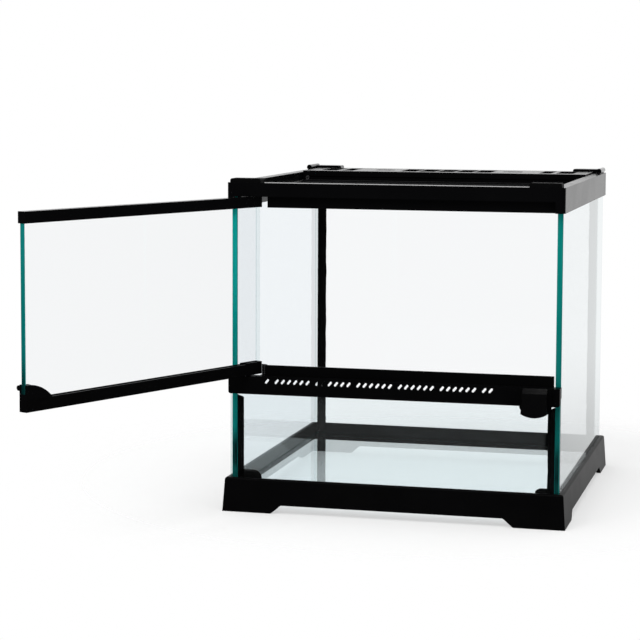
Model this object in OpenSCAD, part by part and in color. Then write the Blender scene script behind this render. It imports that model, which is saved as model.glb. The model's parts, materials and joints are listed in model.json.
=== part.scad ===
// Front-opening glass terrarium: a glass box held between a moulded base frame and top frame.
// A ventilated rail crosses the front above a short fixed pane, and a side-hinged door fills the rest.
// The origin is the centre of the base on the floor. +X is the lock side, +Y the back and +Z up.
// The door is drawn open, at the angle in door_open.

/* [Glass] */
// Outer width across the two side panes
glass_w = 300; // [270:1:420]
// Length of each side pane, front to back
glass_d = 300; // [270:1:420]
// Thickness of the wall panes and of the door pane
glass_t = 5; // [4:0.1:5.5]
// Thickness of the floor pane
floor_t = 4; // [3:0.5:6]
// Height of the top frame's upper face
body_h = 299.5; // [280:0.5:420]

/* [Base frame] */
// Height of the base frame, feet included
base_h = 31; // [28:0.5:40]
// How far the rim stands out past the side panes
base_side = 4.5; // [3.5:0.5:8]
// How far the rim stands out past the front and back panes
base_front = 4; // [3:0.5:8]
// Extra spread of the frame at the floor, each side
base_flare = 2; // [0.5:0.5:4]
// Bevel along the top edge of the rim
base_bevel = 1.2; // [0.4:0.2:2]
// Height of the arches between the feet
foot_h = 7.5; // [5:0.5:9]
// Length of each foot along the floor
foot_len = 46; // [30:1:60]
// Run of the slope beside each foot
foot_slope = 9; // [3:1:15]
// Height of the ledge that carries the glass
ledge_z = 17; // [12:0.5:18]
// Thickness of that ledge
ledge_t = 3; // [2:0.5:4]
// Width of the ledge under the glass
ledge_w = 11; // [9:1:25]
// Thickness of the bedding bead under the panes
bed_t = 1; // [0.5:0.1:2]

/* [Corner beads] */
// Width of the rear corner beads along the back pane
rear_bead_w = 9; // [5:0.5:14]
// Depth of the corner beads along the side panes
bead_d = 5; // [3:0.5:8]
// Width of the front corner beads along the front pane
front_bead_w = 7; // [4:0.5:12]
// Gap between the front beads and the vent rail above them
bead_gap = 2; // [1:0.5:5]
// Reach of the gusset at the foot of each front bead
gusset_w = 24; // [14:1:35]
// Height of the gusset above the rim
gusset_h = 6.5; // [3:0.5:10]

/* [Vent rail] */
// Height of the rail's underside above the floor
rail_z = 108.5; // [80:0.5:125]
// Height of the rail's front face
rail_face = 16.1; // [15:0.1:20]
// Height of the lip behind the door's lower rail
rail_lip = 9.6; // [6:0.1:12]
// How far the rail stands out in front of the fixed pane
rail_out = 6; // [5:0.1:8]
// Wall thickness of the rail and of both lips
rail_wall = 2; // [1.6:0.1:2.4]
// Depth of the groove that grips the fixed pane
rail_grip = 6.5; // [4:0.5:8]
// Thickness of the rail's ledge, foot and saddle
rail_plate = 1.5; // [1.2:0.1:2]
// Length of the rail's solid ends
rail_end = 3; // [2:0.5:6]
// Width of the post behind each land between the slots
rail_post = 2; // [1:0.5:4]
// Width of one vent slot
slot_w = 2.1; // [1:0.1:2.4]
// Distance between the two round centres of a slot
slot_len = 3.2; // [1.5:0.1:3.4]
// Lean of the slots from the horizontal, in degrees
slot_lean = 50; // [45:1:90]
// Distance from slot to slot
slot_pitch = 5.75; // [4.5:0.05:8]
// Slots in a full group
slot_count = 6; // [3:1:8]
// Length of one group of slots with the land after it
slot_group = 37.8; // [36:0.1:60]
// Place of the first slot, from the middle of the rail
slot_first = -114.3; // [-118:0.1:-90]
// Place past which there are no more slots
slot_last = 92; // [40:0.5:100]

/* [Top frame] */
// Height of the top frame at its sides
frame_h = 22.5; // [18:0.5:30]
// Height of the band over the door
band_h = 12.4; // [10:0.1:16]
// How far the frame stands out past the side panes
frame_side = 2.5; // [2:0.1:4]
// How far the frame stands out past the front and back panes
frame_front = 4; // [3:0.1:6]
// Width of the side rails
side_rail = 10; // [8.5:0.5:16]
// Depth of the front and back rails
cross_rail = 13.5; // [12:0.5:20]
// Thickness of the frame above the panes
roof_t = 9.5; // [8:0.5:12]
// Clearance of the grooves on each face of a pane
groove_gap = 0.2; // [0.1:0.05:0.3]
// Radius of the frame's corners
frame_r = 4; // [2:0.5:6]
// Width of the seat that carries the screen and the rear panel
seat_w = 6; // [4:0.5:10]
// Thickness of the seat
seat_t = 2; // [1.5:0.5:3]
// Width of the frame's front corner on the lock side
corner_w = 8.5; // [6:0.5:12]
// Length of the raised corner caps
cap_len = 28.5; // [20:0.5:36]
// Height of the raised corner caps
cap_h = 3.8; // [2:0.1:6]
// Radius of the barrel beside each rear cap
cap_barrel_r = 2.6; // [1.5:0.1:3]
// Length of that barrel
cap_barrel_len = 34; // [16:1:45]

/* [Door] */
// Opening angle of the door as drawn, in degrees from closed
door_open = 114.5; // [60:0.5:117]
// Thickness of the door's rails
door_t = 8; // [7.5:0.1:9]
// Height of the door's upper rail
door_top_h = 9.6; // [8:0.1:14]
// Height of the door's lower rail
door_low_h = 10.2; // [9:0.1:14]
// Depth of the pane's edge in each rail
door_grip = 5.2; // [3:0.1:6]
// Recess of the pane's free edge from the ends of its rails
door_recess = 0.6; // [0.4:0.1:1.5]
// Gap between the door and the band above it
door_gap_top = 0.4; // [0.3:0.1:1.5]
// Gap between the door and the rail's ledge under it
door_gap_low = 1; // [0.8:0.1:2]
// Gap between the closed door and the lips behind it
door_gap_lip = 0.3; // [0.3:0.1:1]
// Gap at the free end and at the hinge end of the closed door
door_gap_end = 0.6; // [0.4:0.1:2]
// Distance from the hinge axis to the inner face of the side pane
hinge_in = 12.7; // [12:0.1:20]
// Gap between the turning hinge end and the edge of the side pane
tail_gap = 0.4; // [0.3:0.1:1]
// Gap between the opened door and the end of each lip
notch_gap = 9.5; // [6:0.5:12]
// Radius of the hinge pins
pin_r = 1.5; // [1:0.1:1.8]
// Length of each hinge pin outside the door
pin_out = 7; // [4:0.5:8]
// Radial clearance of the hinge pins in the frame
pin_gap = 0.05; // [0.03:0.01:0.1]
// Gap at the ends of the pins and of the door's pane
pin_end_gap = 0.3; // [0.3:0.1:0.8]
// Wall of the boss round the lower pin
boss_wall = 2.2; // [1.5:0.1:2.5]
// Reach of the thicker stretch of the lower rail past the hinge
pad_len = 8; // [4:0.5:14]
// Height of that stretch above the rail
pad_h = 1; // [0.5:0.1:2]
// Length of the corner block on the door's free end
block_len = 28.5; // [18:0.5:40]
// Height of the corner block above the lower rail
block_h = 12; // [6:0.5:20]
// Length of the finger pull
pull_len = 10; // [6:0.5:16]
// Height and reach of the finger pull
pull_h = 4.4; // [3:0.1:6]

/* [Lock] */
// Distance from the lock's spindle to the side pane's outer face
lock_in = 20.5; // [20:0.5:24]
// Width of the lock housing
housing_w = 28; // [26:0.5:32]
// How far the housing stands out of the rail
housing_out = 3.5; // [2:0.5:6]
// How far the housing hangs below the rail
housing_drop = 4.7; // [2:0.1:7]
// Width of the knob at its head
knob_w = 21.4; // [16:0.2:22]
// Extra width of the knob at its foot
knob_flare = 2.4; // [0:0.2:3]
// Distance from the knob's foot to the spindle
knob_drop = 13.8; // [11:0.1:16]
// Depth of the knob at its foot
knob_out = 9.7; // [7:0.1:14]
// Depth of the knob at its head
knob_head = 5.7; // [4:0.1:8]
// Radius of the arc at the knob's foot
knob_arc = 22; // [14:0.5:40]
// Radius of the spindle
spindle_r = 2.5; // [2:0.1:2.5]
// Radial clearance of the spindle in its bore
spindle_gap = 0.05; // [0.03:0.01:0.1]
// Width of the locking tongue
tongue_w = 5; // [4:0.1:5.5]
// Thickness of the locking tongue
tongue_t = 1.8; // [1.2:0.1:2]
// Reach of the tongue into the door
tongue_bite = 3.8; // [2:0.1:4]

/* [Screen] */
// Width of the screen's frame strips
strip_w = 8; // [6:0.5:12]
// Height of the screen's frame strips
strip_h = 3; // [2:0.5:4]
// Thickness of the mesh sheets
mesh_t = 0.6; // [0.5:0.1:1.2]
// Openings across the screen, which stand for its weave
mesh_cells = 12; // [6:1:12]
// Width of the bars between those openings
mesh_bar = 1.2; // [0.8:0.1:2]
// Gap round the screen and round the rear panel
lid_gap = 0.5; // [0.3:0.1:1.5]

/* [Rear panel] */
// Depth of the rear panel, front to back
panel_d = 72; // [62:0.5:90]
// Thickness of the panel's plate and skirt
panel_t = 2.4; // [1.5:0.1:3]
// How far the panel's plate stands above the frame
panel_rise = 1.5; // [0.2:0.1:2]
// Number of vent windows in the middle group
window_count = 5; // [1:2:5]
// Width of one vent window
window_w = 17; // [8:0.5:17]
// Depth of the windows and of the cable inlets
window_d = 48; // [30:0.5:50]
// Width of the ribs between the windows
rib_w = 1.8; // [1:0.1:3]
// Width of each cable inlet
inlet_w = 12; // [8:0.5:14]
// Distance from the middle of the panel to each inlet's inner edge
inlet_x = 94; // [90:0.5:100]
// Length of the sliding inlet covers
cover_len = 38; // [30:0.5:39]
// Lap of the covers over the inlets, front and back
cover_lap = 1.1; // [0.8:0.1:2]
// Thickness of the sliding inlet covers
cover_t = 1.4; // [1:0.1:2]
// Running gap of the covers in their guides
cover_gap = 0.3; // [0.3:0.05:0.5]
// Width of the guides beside the covers
guide_w = 1.6; // [1:0.1:2]
// Overlap of the guides' feet under the covers
guide_lap = 1; // [0.5:0.1:1.5]
// Thickness of the guides' feet
guide_foot = 0.8; // [0.6:0.1:1]
// Length of the thumb grip on each cover
grip_len = 4; // [3:0.5:6]
// Width of the thumb grips and of their slots
grip_w = 12; // [6:0.5:16]
// Radius of the panel's screw heads
screw_head_r = 2.2; // [1.5:0.1:3]
// Radius of the panel's screw shanks
screw_r = 1.2; // [0.8:0.1:1.4]
// Distance from the panel's ends to its screws
screw_in = 5; // [4:0.5:10]

/* [Hidden] */
$fn = 40;
OVER = 1;
SEE_THROUGH = 0.45;

// Glass
pane_x = glass_w / 2;
inner_x = pane_x - glass_t;
back_y = (glass_d + glass_t) / 2;
front_y = -back_y;
side_y = front_y + glass_t;
glass_z = ledge_z + bed_t;
floor_z = glass_z + floor_t;
pane_top = body_h - roof_t;

// Base frame
base_x = pane_x + base_side;
base_y = back_y + base_front;
skirt_t = 2.5;
arch_x = base_x + base_flare - foot_len;
arch_y = base_y + base_flare - foot_len;

// Vent rail
rail_x = pane_x + 0.5;
rail_y = front_y - rail_out;
rail_ledge = rail_z + rail_face;
rail_top = rail_ledge + rail_lip;
front_pane_top = rail_z + rail_grip;
saddle = front_pane_top + rail_plate;
lip_y = side_y - rail_wall;
slot_z = (saddle + rail_ledge - rail_plate) / 2 + slot_w * 0.4;

// Top frame
frame_x = pane_x + frame_side;
frame_y = back_y + frame_front;
frame_z = body_h - frame_h;
band_z = body_h - band_h;
hole_x = frame_x - side_rail;
hole_y = frame_y - cross_rail;
seat_z = band_z + seat_t;
lug_t = 5;

// Door, as it lies when closed
door_y = lip_y - door_gap_lip - door_t / 2;
hinge_x = -inner_x + hinge_in;
tail = sqrt(hinge_in ^ 2 + (side_y - door_y) ^ 2) - tail_gap;
door_x0 = hinge_x - tail;
door_x1 = frame_x - corner_w - door_gap_end;
door_skin = 1.2;
door_z0 = rail_ledge + door_gap_low;
door_z1 = band_z - door_gap_top;
door_low_top = door_z0 + door_low_h;
door_top_low = door_z1 - door_top_h;
door_glass_x1 = door_x1 - door_recess;
door_glass_z0 = door_low_top - door_grip;
door_glass_z1 = door_top_low + door_grip;
// Where the opened door's inner face crosses the lips
notch_x = hinge_x + (door_t / 2 + (lip_y - door_y) * sin(door_open - 90)) / cos(door_open - 90) + notch_gap;
guard_r = norm([notch_x - hinge_x, side_y - door_y]);

// Lock
lock_x = pane_x - lock_in;
lock_z = (rail_z + rail_ledge) / 2 - 2.5;
tongue_y = (rail_y + rail_wall + front_y) / 2;
tongue_len = door_z0 + tongue_bite - lock_z;
pocket_gap = 0.6;
knob_y = rail_y - housing_out;
knob_top = door_z0 - pocket_gap;

// Rear panel
panel_y1 = hole_y - lid_gap;
panel_y0 = panel_y1 - panel_d;
panel_x = hole_x - lid_gap;
panel_top = body_h + panel_rise;
panel_mid = (panel_y0 + panel_y1) / 2;
plate_z = panel_top - panel_t;
cover_z = plate_z - cover_gap - cover_t;
cover_x = inlet_x - cover_len - 2;
cover_d = window_d + 2 * cover_lap;
cover_travel = inlet_w + 2;
grip_x = cover_x + 2;
outer_window_x = inlet_x + inlet_w + 2 * rib_w + 1;
screw_z = (seat_z + plate_z) / 2;
screw_head_t = 1.2;

// A box between two opposite corners
module box(low, high) {
    translate(low) cube(high - low);
}

// An upright cylinder between two heights
module post(x, y, r, z0, z1) {
    translate([x, y, z0]) cylinder(r = r, h = z1 - z0);
}

// A cylinder along Y between two places
module rod_y(x, z, r, y0, y1) {
    translate([x, y0, z]) rotate([-90, 0, 0]) cylinder(r = r, h = y1 - y0);
}

// A plate with round corners, centred on the origin
module round_plate(half_x, half_y, r, z0, z1) {
    translate([0, 0, z0]) linear_extrude(z1 - z0) {
        square([2 * half_x - 2 * r, 2 * half_y], center = true);
        square([2 * half_x, 2 * half_y - 2 * r], center = true);
        for (x = [-1, 1], y = [-1, 1])
            translate([x * (half_x - r), y * (half_y - r)]) circle(r);
    }
}

// Extrudes an outline drawn in X and Z along Y
module along_y(y0, y1) {
    translate([0, y1, 0]) rotate([90, 0, 0]) linear_extrude(y1 - y0) children();
}

// Extrudes an outline drawn in Y and Z along X
module along_x(x0, x1) {
    translate([x0, 0, 0]) rotate([90, 0, 90]) linear_extrude(x1 - x0) children();
}

// Both mirror images of a piece on the +X side
module both_sides() {
    children();
    mirror([1, 0, 0]) children();
}

// Puts a piece of the closed door where the door stands open
module on_open_door() {
    translate([hinge_x, door_y, 0]) rotate([0, 0, -door_open]) translate([-hinge_x, -door_y, 0]) children();
}

// Outline with a flat top at z1 that curves down by drop over run, at its x0 end
module shoulder(x0, x1, z0, z1, run, drop) {
    r = (run ^ 2 + drop ^ 2) / (2 * drop);
    sweep = acos(1 - drop / r);
    steps = 16;
    polygon([
        [x0, z0], [x1, z0], [x1, z1],
        for (i = [0:steps]) [x0 + run - r * sin(sweep * i / steps), z1 - r * (1 - cos(sweep * i / steps))]
    ]);
}

// Outline of the base: flared sides with a bevelled rim
module base_outline(half) {
    polygon([
        [-half - base_flare, 0], [half + base_flare, 0],
        [half, base_h - base_bevel], [half - base_bevel, base_h],
        [-half + base_bevel, base_h], [-half, base_h - base_bevel]
    ]);
}

// Outline of the arch between two feet
module arch_outline(half) {
    polygon([
        [-half - OVER, -OVER], [half + OVER, -OVER], [half, 0],
        [half - foot_slope, foot_h], [-half + foot_slope, foot_h], [-half, 0]
    ]);
}

module base_frame() {
    color([0.03, 0.03, 0.035])
    difference() {
        intersection() {
            along_y(-base_y - 2 * base_flare, base_y + 2 * base_flare) base_outline(base_x);
            along_x(-base_x - 2 * base_flare, base_x + 2 * base_flare) base_outline(base_y);
        }
        box([-pane_x, front_y, ledge_z], [pane_x, back_y, base_h + OVER]);
        box([-pane_x + ledge_w, front_y + ledge_w, -OVER], [pane_x - ledge_w, back_y - ledge_w, base_h]);
        box([-base_x + skirt_t, -base_y + skirt_t, -OVER], [base_x - skirt_t, base_y - skirt_t, ledge_z - ledge_t]);
        along_y(-base_y - 3 * base_flare, base_y + 3 * base_flare) arch_outline(arch_x);
        along_x(-base_x - 3 * base_flare, base_x + 3 * base_flare) arch_outline(arch_y);
    }
}

module glazing_bed() {
    color([0.05, 0.05, 0.05])
    difference() {
        box([-pane_x, front_y, ledge_z], [pane_x, back_y, glass_z]);
        box([-pane_x + ledge_w, front_y + ledge_w, 0], [pane_x - ledge_w, back_y - ledge_w, glass_z + OVER]);
    }
}

module floor_pane() {
    color([0.75, 0.95, 0.92, SEE_THROUGH])
    box([-inner_x, side_y, glass_z], [inner_x, back_y - glass_t, floor_z]);
}

module side_pane() {
    color([0.75, 0.95, 0.92, SEE_THROUGH])
    box([inner_x, side_y, glass_z], [pane_x, back_y, pane_top]);
}

module right_pane() {
    side_pane();
}

module left_pane() {
    mirror([1, 0, 0]) side_pane();
}

module back_pane() {
    color([0.75, 0.95, 0.92, SEE_THROUGH])
    box([-inner_x, back_y - glass_t, glass_z], [inner_x, back_y, pane_top]);
}

module front_pane() {
    color([0.75, 0.95, 0.92, SEE_THROUGH])
    box([-pane_x, front_y, glass_z], [pane_x, side_y, front_pane_top]);
}

// Three-cornered beads of sealant in the upright corners between the panes
module rear_corner_beads() {
    bead_back = back_y - glass_t;
    color([0.02, 0.02, 0.02])
    both_sides()
    translate([0, 0, floor_z]) linear_extrude(frame_z - floor_z)
    polygon([[inner_x, bead_back], [inner_x - rear_bead_w, bead_back], [inner_x, bead_back - bead_d]]);
}

module front_corner_beads() {
    bead_top = rail_z - bead_gap;
    web = 1.6;
    color([0.02, 0.02, 0.02])
    both_sides() {
        translate([0, 0, floor_z]) linear_extrude(bead_top - floor_z)
        polygon([[inner_x, side_y], [inner_x - front_bead_w, side_y], [inner_x, side_y + bead_d]]);
        along_y(side_y, side_y + web)
        shoulder(inner_x - gusset_w, inner_x - front_bead_w, floor_z, base_h + gusset_h, gusset_w / 3, gusset_h);
    }
}

// One slanted vent slot, cut through the rail's front wall
module vent_slot(x) {
    reach = slot_len / 2;
    translate([x, rail_y - OVER, slot_z]) rotate([0, -slot_lean, 0]) {
        for (end = [-reach, reach])
            translate([end, 0, 0]) rotate([-90, 0, 0])
            cylinder(r = slot_w / 2, h = rail_wall + 2 * OVER, $fn = 16);
        translate([-reach, 0, -slot_w / 2]) cube([slot_len, rail_wall + 2 * OVER, slot_w]);
    }
}

// The rail's cross section: front wall, foot, ledge, lip and the saddle on the fixed pane
module rail_section() {
    back = side_y + rail_wall;
    foot_top = rail_z + rail_plate;
    polygon([
        [rail_y, rail_z], [front_y, rail_z], [front_y, foot_top], [rail_y + rail_wall, foot_top],
        [rail_y + rail_wall, rail_ledge - rail_plate], [lip_y, rail_ledge - rail_plate],
        [lip_y, saddle], [front_y, saddle], [front_y, front_pane_top], [side_y, front_pane_top],
        [side_y, rail_z], [back, rail_z], [back, saddle], [side_y, saddle], [side_y, rail_ledge],
        [rail_y, rail_ledge]
    ]);
}

// Outline of the rail's +X end in X and Z, with its outer lower corner rounded
module rail_end_outline() {
    r = 2.2;
    x0 = inner_x - rail_end;
    translate([x0, rail_z]) square([rail_x - r - x0, rail_ledge - rail_z]);
    translate([x0, rail_z + r]) square([rail_x - x0, rail_ledge - rail_z - r]);
    translate([rail_x - r, rail_z + r]) circle(r, $fn = 24);
}

module vent_rail() {
    last_group = floor((slot_last - slot_first) / slot_group) + 1;
    group_start = slot_first - (slot_count - 1) * slot_pitch;
    color([0.03, 0.03, 0.035])
    difference() {
        union() {
            along_x(-inner_x, inner_x) rail_section();
            // closed ends, in front of the side panes
            both_sides() along_y(rail_y, front_y) rail_end_outline();
            for (x = [-rail_x, inner_x])
                box([x, front_y, front_pane_top], [x + rail_x - inner_x, side_y, rail_ledge]);
            // the lip behind the door
            box([notch_x, lip_y, rail_ledge], [door_x1 + door_gap_end, side_y, rail_top]);
            // curved guard round the turning end of the door
            intersection() {
                difference() {
                    post(hinge_x, door_y, guard_r, rail_ledge - rail_plate, rail_top);
                    post(hinge_x, door_y, tail + 2 * door_gap_lip, rail_ledge, rail_top + OVER);
                }
                box([hinge_x + tail * 0.6, (lip_y + side_y) / 2, 0],
                    [hinge_x + 2 * tail, side_y + bead_d, rail_top + OVER]);
            }
            // boss under the ledge for the hinge pin
            intersection() {
                post(hinge_x, door_y, pin_r + boss_wall, front_pane_top, rail_ledge - rail_plate / 2);
                box([-rail_x, rail_y, rail_z], [0, lip_y, rail_ledge]);
            }
        }
        post(hinge_x, door_y, pin_r + pin_gap, rail_ledge - pin_out - pin_end_gap, rail_ledge + OVER);
        // vent windows behind the slots, with a post at each land
        for (g = [0:last_group])
            if (group_start + g * slot_group < slot_last) {
                x0 = max(group_start + g * slot_group - slot_pitch, slot_first - slot_pitch) + rail_post / 2;
                x1 = min(group_start + (g + 1) * slot_group - slot_pitch, slot_last + slot_pitch) - rail_post / 2;
                box([x0, lip_y - OVER, saddle], [x1, side_y + OVER / 4, rail_ledge - rail_plate]);
            }
        for (g = [0:last_group], i = [0:slot_count - 1]) {
            x = group_start + g * slot_group + i * slot_pitch;
            if (x > slot_first - 0.01 && x < slot_last) vent_slot(x);
        }
        // bore of the lock's spindle and the arc swept by its tongue
        rod_y(lock_x, lock_z, spindle_r + spindle_gap, rail_y - OVER, rail_y + rail_wall + OVER);
        tongue_slot(rail_ledge - rail_plate - OVER, rail_ledge + OVER);
    }
}

// The room that the tongue sweeps through at the heights given
module tongue_slot(z0, z1) {
    low = max(z0, lock_z + tongue_w);
    chord = sqrt(max(tongue_len ^ 2 - (low - lock_z) ^ 2, 0));
    box([lock_x - chord - pocket_gap, tongue_y - tongue_t / 2 - pocket_gap, z0],
        [lock_x + tongue_w / 2 + pocket_gap, tongue_y + tongue_t / 2 + pocket_gap, z1]);
}

// Outline of the housing in X and Z, with rounded lower corners
module housing_outline() {
    r = 5;
    low = rail_z - housing_drop;
    half = housing_w / 2;
    translate([lock_x - half, low + r]) square([housing_w, rail_ledge - rail_plate / 6 - low - r]);
    translate([lock_x - half + r, low]) square([housing_w - 2 * r, 2 * r]);
    for (x = [-1, 1]) translate([lock_x + x * (half - r), low + r]) circle(r);
}

module lock_housing() {
    color([0.03, 0.03, 0.035])
    difference() {
        along_y(knob_y, rail_y) housing_outline();
        rod_y(lock_x, lock_z, spindle_r + spindle_gap, knob_y - OVER, rail_y + OVER);
    }
}

// The knob's outline: straight sides on a shallow arc
module knob_outline() {
    foot = lock_z - knob_drop;
    intersection() {
        translate([lock_x, 0]) polygon([
            [-knob_w / 2, knob_top], [-knob_w / 2, lock_z], [-(knob_w + knob_flare) / 2, foot],
            [(knob_w + knob_flare) / 2, foot], [knob_w / 2, lock_z], [knob_w / 2, knob_top]
        ]);
        translate([lock_x, foot + knob_arc]) circle(knob_arc, $fn = 96);
    }
}

// The knob's side view: a sloped head, and a face that leans out to the foot
module knob_profile() {
    gap = 0.3;
    foot = lock_z - knob_drop;
    polygon([
        [knob_y - gap, foot - OVER], [knob_y - gap, knob_top],
        [knob_y - gap - 1, knob_top], [knob_y - knob_head, knob_top - knob_head * 0.7],
        [knob_y - knob_out, foot + 3], [knob_y - knob_out, foot - OVER]
    ]);
}

module lock_knob() {
    depth = knob_out + OVER;
    color([0.03, 0.03, 0.035])
    difference() {
        intersection() {
            along_y(knob_y - depth, knob_y) knob_outline();
            along_x(lock_x - knob_w, lock_x + knob_w) knob_profile();
        }
        rod_y(lock_x, lock_z, spindle_r, knob_y - 4, knob_y + OVER);
    }
}

module lock_spindle() {
    color("silver")
    rod_y(lock_x, lock_z, spindle_r, knob_y - 4, tongue_y + tongue_t / 2);
}

module lock_tongue() {
    color("silver")
    difference() {
        along_y(tongue_y - tongue_t / 2, tongue_y + tongue_t / 2)
        intersection() {
            translate([lock_x, lock_z]) circle(tongue_len, $fn = 96);
            union() {
                translate([lock_x - tongue_len, lock_z - tongue_w / 2]) square([tongue_len, tongue_w]);
                translate([lock_x, lock_z]) circle(spindle_r + 1);
            }
        }
        rod_y(lock_x, lock_z, spindle_r, tongue_y - tongue_t, tongue_y + tongue_t);
    }
}

// Outline of the room that the screen and the rear panel drop into
module top_hole(z0, z1) {
    box([-hole_x, -hole_y, z0], [hole_x, hole_y, z1]);
}

module top_frame() {
    groove = groove_gap;
    tail_x = door_x0 - door_gap_end;
    color([0.03, 0.03, 0.035])
    difference() {
        union() {
            difference() {
                round_plate(frame_x, frame_y, frame_r, frame_z, body_h);
                top_hole(frame_z - OVER, body_h + OVER);
                // the front rail is only a band, with the door under it
                box([tail_x, -frame_y - OVER, frame_z - OVER], [door_x1 + door_gap_end, side_y, band_z]);
                box([-hole_x, side_y - OVER, frame_z - OVER], [hole_x, 0, band_z]);
            }
            // seat of the screen and of the rear panel
            difference() {
                box([-hole_x - OVER, -hole_y - OVER, seat_z - seat_t], [hole_x + OVER, hole_y + OVER, seat_z]);
                box([-hole_x + seat_w, -hole_y + seat_w, 0], [hole_x - seat_w, panel_y0 - seat_w / 2, body_h]);
                box([-hole_x + seat_w, panel_y0 + seat_w / 2, 0], [hole_x - seat_w, hole_y - seat_w, body_h]);
            }
            // the lip behind the door
            box([notch_x, lip_y, frame_z], [door_x1 + door_gap_end, side_y, band_z]);
            // lugs for the rear panel's screws
            both_sides()
            box([panel_x - screw_in - lug_t, panel_y0 + panel_t, seat_z - seat_t],
                [panel_x - panel_t, panel_y0 + panel_t + lug_t, panel_top - panel_t - 0.5]);
        }
        // grooves for the panes
        both_sides()
        box([inner_x - groove, side_y, frame_z - OVER], [pane_x + groove, back_y + groove, pane_top]);
        box([-pane_x, back_y - glass_t - groove, frame_z - OVER], [pane_x, back_y + groove, pane_top]);
        post(hinge_x, door_y, pin_r + pin_gap, band_z - OVER, band_z + pin_out + pin_end_gap);
        // room for the turning end of the door
        post(hinge_x, door_y, tail + door_gap_lip, frame_z - OVER, band_z);
        both_sides() rod_y(panel_x - screw_in, screw_z, screw_r, panel_y0, panel_y0 + panel_t + lug_t + OVER);
    }
}

// A cap's outline in X and Z, with rounded upper corners
module cap_outline(inner_end, outer_end) {
    r = cap_h / 2;
    translate([inner_end, body_h]) square([outer_end - inner_end, cap_h - r]);
    translate([inner_end + r, body_h]) square([outer_end - inner_end - 2 * r, cap_h]);
    for (x = [inner_end + r, outer_end - r]) translate([x, body_h + cap_h - r]) circle(r, $fn = 24);
}

module front_corner_caps() {
    end = frame_x - 3;
    inset = 0.6;
    color([0.03, 0.03, 0.035])
    both_sides()
    along_y(-frame_y + inset, -hole_y) cap_outline(end - cap_len, end);
}

module rear_corner_caps() {
    inset = 0.6;
    r = cap_barrel_r;
    barrel_x = frame_x - r - 1;
    y0 = frame_y - inset - cap_barrel_len;
    color([0.03, 0.03, 0.035])
    both_sides()
    difference() {
        union() {
            along_y(hole_y, frame_y - inset) cap_outline(barrel_x - cap_len, barrel_x);
            rod_y(barrel_x, body_h + r, r, y0, frame_y - inset);
            box([barrel_x - r / 2, y0, body_h], [barrel_x + r / 2, frame_y - inset, body_h + r]);
        }
        rod_y(barrel_x, body_h + r, r / 2, y0 - OVER, y0 + 4);
    }
}

module screen_frame() {
    half_x = hole_x - lid_gap;
    y0 = -hole_y + lid_gap;
    y1 = panel_y0 - lid_gap;
    color([0.03, 0.03, 0.035])
    difference() {
        box([-half_x, y0, seat_z], [half_x, y1, seat_z + strip_h]);
        box([-half_x + strip_w, y0 + strip_w, 0], [half_x - strip_w, y1 - strip_w, body_h]);
    }
}

// A mesh sheet, drawn as a plain grid with openings about one pitch wide
module mesh_sheet(low, high, pitch) {
    across = max(1, round((high.x - low.x) / pitch));
    along = max(1, round((high.y - low.y) / pitch));
    step_x = (high.x - low.x - mesh_bar) / across;
    step_y = (high.y - low.y - mesh_bar) / along;
    difference() {
        box(low, high);
        for (i = [0:across - 1], j = [0:along - 1])
            translate([low.x + mesh_bar + i * step_x, low.y + mesh_bar + j * step_y, low.z - OVER])
            cube([step_x - mesh_bar, step_y - mesh_bar, high.z - low.z + 2 * OVER]);
    }
}

module screen_mesh() {
    half_x = hole_x - lid_gap - strip_w;
    z = seat_z + (strip_h - mesh_t) / 2;
    y0 = -hole_y + lid_gap + strip_w;
    color([0.1, 0.1, 0.1])
    mesh_sheet([-half_x, y0, z], [half_x, panel_y0 - lid_gap - strip_w, z + mesh_t], 2 * half_x / mesh_cells);
}

// An opening of the rear panel's full window depth
module panel_opening(x0, w) {
    box([x0, panel_mid - window_d / 2, 0], [x0 + w, panel_mid + window_d / 2, panel_top + OVER]);
}

// The rear panel's vent windows: a middle group and one beyond each inlet
module panel_windows() {
    pitch = window_w + rib_w;
    for (i = [0:window_count - 1]) panel_opening((i - (window_count - 1) / 2) * pitch - window_w / 2, window_w);
    both_sides() panel_opening(outer_window_x, window_w);
}

// Guides under the plate, in front of and behind one sliding cover
module cover_guides() {
    reach = cover_d / 2 + cover_gap;
    lap_z = cover_z - cover_gap;
    x0 = cover_x - 1;
    x1 = inlet_x + inlet_w + 1;
    for (side = [-1, 1]) {
        y = panel_mid + side * (reach + guide_w / 2);
        lap = guide_w + guide_lap + cover_gap;
        box([x0, y - guide_w / 2, lap_z - guide_foot], [x1, y + guide_w / 2, plate_z + OVER / 2]);
        translate([x0, y + (side > 0 ? guide_w / 2 - lap : -guide_w / 2), lap_z - guide_foot])
        cube([x1 - x0, lap, guide_foot]);
    }
}

module rear_panel() {
    color([0.03, 0.03, 0.035])
    difference() {
        union() {
            difference() {
                box([-panel_x, panel_y0, seat_z], [panel_x, panel_y1, panel_top]);
                box([-panel_x + panel_t, panel_y0 + panel_t, 0], [panel_x - panel_t, panel_y1 - panel_t, plate_z]);
            }
            both_sides() cover_guides();
        }
        panel_windows();
        both_sides() {
            panel_opening(inlet_x, inlet_w);
            // slot for the cover's thumb grip
            box([grip_x - cover_gap, panel_mid - grip_w / 2 - cover_gap, plate_z - OVER],
                [grip_x + grip_len + cover_travel + cover_gap, panel_mid + grip_w / 2 + cover_gap, panel_top + OVER]);
        }
        both_sides()
        rod_y(panel_x - screw_in, screw_z, screw_r, panel_y0 - OVER, panel_y0 + panel_t + OVER);
        both_sides()
        rod_y(panel_x - screw_in, screw_z, screw_head_r, panel_y0 - OVER, panel_y0 + screw_head_t);
    }
}

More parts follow.
